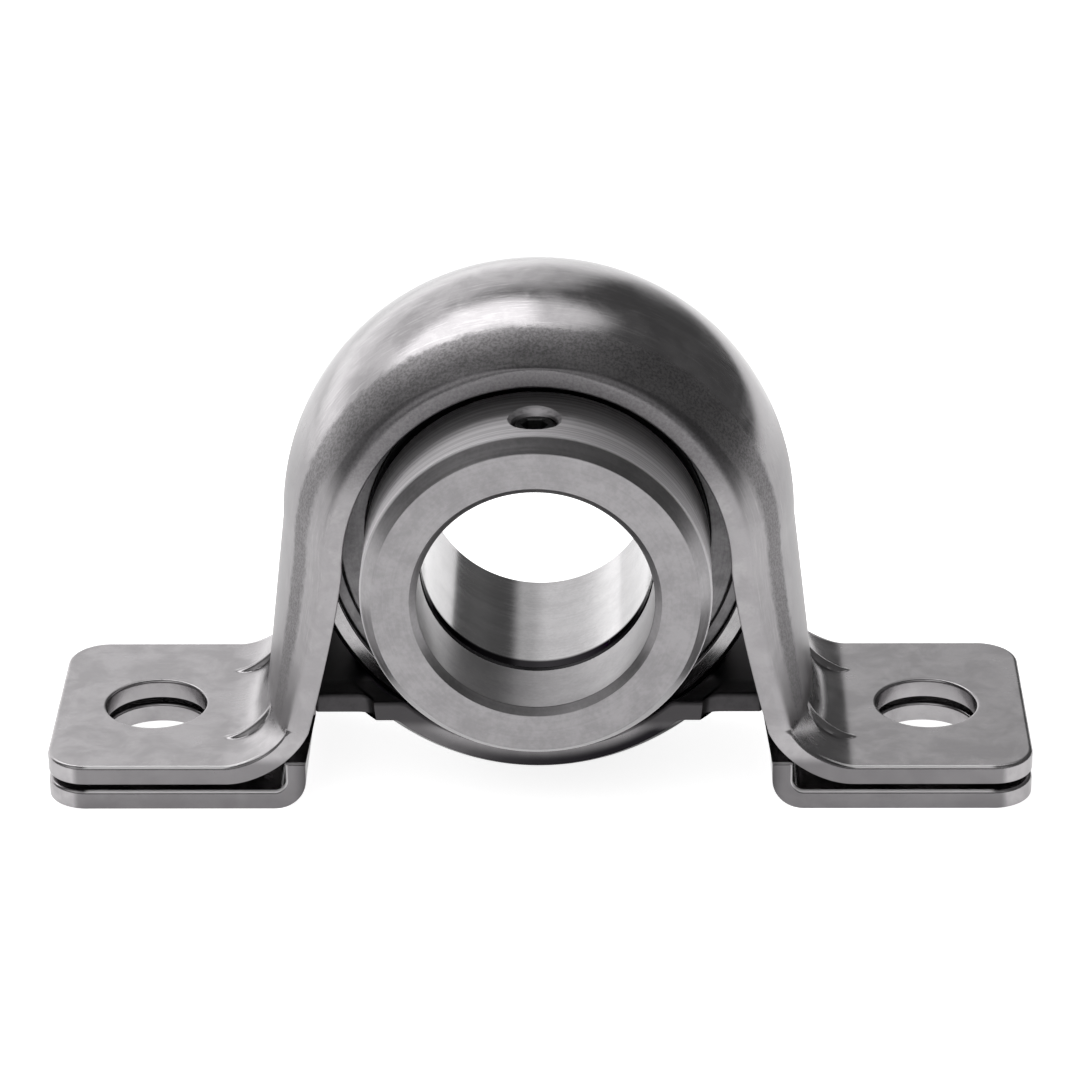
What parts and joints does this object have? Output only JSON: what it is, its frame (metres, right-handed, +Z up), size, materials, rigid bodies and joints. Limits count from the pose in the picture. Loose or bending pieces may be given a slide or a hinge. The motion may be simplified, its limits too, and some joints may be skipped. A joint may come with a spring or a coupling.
{
  "type": "pillow block bearing",
  "caption": "Two-piece pressed-steel pillow block holding a self-aligning ball insert bearing locked to its shaft by an eccentric collar with a set screw.",
  "frame": {"origin": "on the base plane, midway between the two bolt holes and straight below the bore", "axes": "+X along the line of the bolt holes, +Y along the bore away from the locking collar, +Z up from the base"},
  "size_m": [0.108, 0.0395, 0.0571],
  "materials": {
    "pressed_steel": "zinc plated, satin",
    "ring_steel": "ground",
    "bore_steel": "honed",
    "collar_steel": "turned",
    "screw_steel": "black oxide",
    "shield_steel": "dark satin",
    "lip_rubber": "matt nitrile",
    "cage_steel": "pressed",
    "ball_steel": "polished"
  },
  "bodies": {
    "housing": {"upper_housing": "pressed_steel", "lower_housing": "pressed_steel"},
    "outer_ring": {"outer_ring": "ring_steel", "front_seal_shield": "shield_steel", "front_seal_lip": "lip_rubber", "rear_seal_shield": "shield_steel", "rear_seal_lip": "lip_rubber"},
    "inner_ring": {"inner_ring": "bore_steel"},
    "locking_collar": {"locking_collar": "collar_steel"},
    "set_screw": {"set_screw": "screw_steel"},
    "cage": {"cage_front_half": "cage_steel", "cage_rear_half": "cage_steel", "cage_rivets": "cage_steel"},
    "ball_1": {"ball_1": "ball_steel"},
    "ball_2": {"ball_2": "ball_steel"},
    "ball_3": {"ball_3": "ball_steel"},
    "ball_4": {"ball_4": "ball_steel"},
    "ball_5": {"ball_5": "ball_steel"},
    "ball_6": {"ball_6": "ball_steel"},
    "ball_7": {"ball_7": "ball_steel"},
    "ball_8": {"ball_8": "ball_steel"},
    "ball_9": {"ball_9": "ball_steel"}
  },
  "joints": [
    {"name": "self_align_tilt", "type": "hinge", "parent": "housing", "child": "outer_ring", "pos_m": [0, 0, 0.0292], "axis": [1, 0, 0], "range_deg": [-3, 3]},
    {"name": "shaft_spin", "type": "hinge", "parent": "outer_ring", "child": "inner_ring", "pos_m": [0, 0, 0.0292], "axis": [0, 1, 0], "continuous": true},
    {"name": "collar_lock_turn", "type": "hinge", "parent": "inner_ring", "child": "locking_collar", "pos_m": [0, -0.0168, 0.0292], "axis": [0, 1, 0], "range_deg": [-15, 15]},
    {"name": "set_screw_advance", "type": "slide", "parent": "locking_collar", "child": "set_screw", "axis": [0, 0, 1], "range_m": [-0.00065, 0.0008]},
    {"name": "cage_spin", "type": "hinge", "parent": "outer_ring", "child": "cage", "pos_m": [0, 0, 0.0292], "axis": [0, 1, 0], "continuous": true},
    {"name": "ball_1_spin", "type": "hinge", "parent": "cage", "child": "ball_1", "pos_m": [0, 0, 0.04872], "axis": [0, 1, 0], "continuous": true},
    {"name": "ball_2_spin", "type": "hinge", "parent": "cage", "child": "ball_2", "pos_m": [-0.01255, 0, 0.04415], "axis": [0, 1, 0], "continuous": true},
    {"name": "ball_3_spin", "type": "hinge", "parent": "cage", "child": "ball_3", "pos_m": [-0.01922, 0, 0.03259], "axis": [0, 1, 0], "continuous": true},
    {"name": "ball_4_spin", "type": "hinge", "parent": "cage", "child": "ball_4", "pos_m": [-0.0169, 0, 0.01944], "axis": [0, 1, 0], "continuous": true},
    {"name": "ball_5_spin", "type": "hinge", "parent": "cage", "child": "ball_5", "pos_m": [-0.00668, 0, 0.01086], "axis": [0, 1, 0], "continuous": true},
    {"name": "ball_6_spin", "type": "hinge", "parent": "cage", "child": "ball_6", "pos_m": [0.00668, 0, 0.01086], "axis": [0, 1, 0], "continuous": true},
    {"name": "ball_7_spin", "type": "hinge", "parent": "cage", "child": "ball_7", "pos_m": [0.0169, 0, 0.01944], "axis": [0, 1, 0], "continuous": true},
    {"name": "ball_8_spin", "type": "hinge", "parent": "cage", "child": "ball_8", "pos_m": [0.01922, 0, 0.03259], "axis": [0, 1, 0], "continuous": true},
    {"name": "ball_9_spin", "type": "hinge", "parent": "cage", "child": "ball_9", "pos_m": [0.01255, 0, 0.04415], "axis": [0, 1, 0], "continuous": true}
  ],
  "couplings": [
    {"joint": "cage_spin", "follows": "shaft_spin", "ratio": 0.39834},
    {"joint": "ball_1_spin", "follows": "shaft_spin", "ratio": -2.3574},
    {"joint": "ball_2_spin", "follows": "shaft_spin", "ratio": -2.3574},
    {"joint": "ball_3_spin", "follows": "shaft_spin", "ratio": -2.3574},
    {"joint": "ball_4_spin", "follows": "shaft_spin", "ratio": -2.3574},
    {"joint": "ball_5_spin", "follows": "shaft_spin", "ratio": -2.3574},
    {"joint": "ball_6_spin", "follows": "shaft_spin", "ratio": -2.3574},
    {"joint": "ball_7_spin", "follows": "shaft_spin", "ratio": -2.3574},
    {"joint": "ball_8_spin", "follows": "shaft_spin", "ratio": -2.3574},
    {"joint": "ball_9_spin", "follows": "shaft_spin", "ratio": -2.3574}
  ]
}
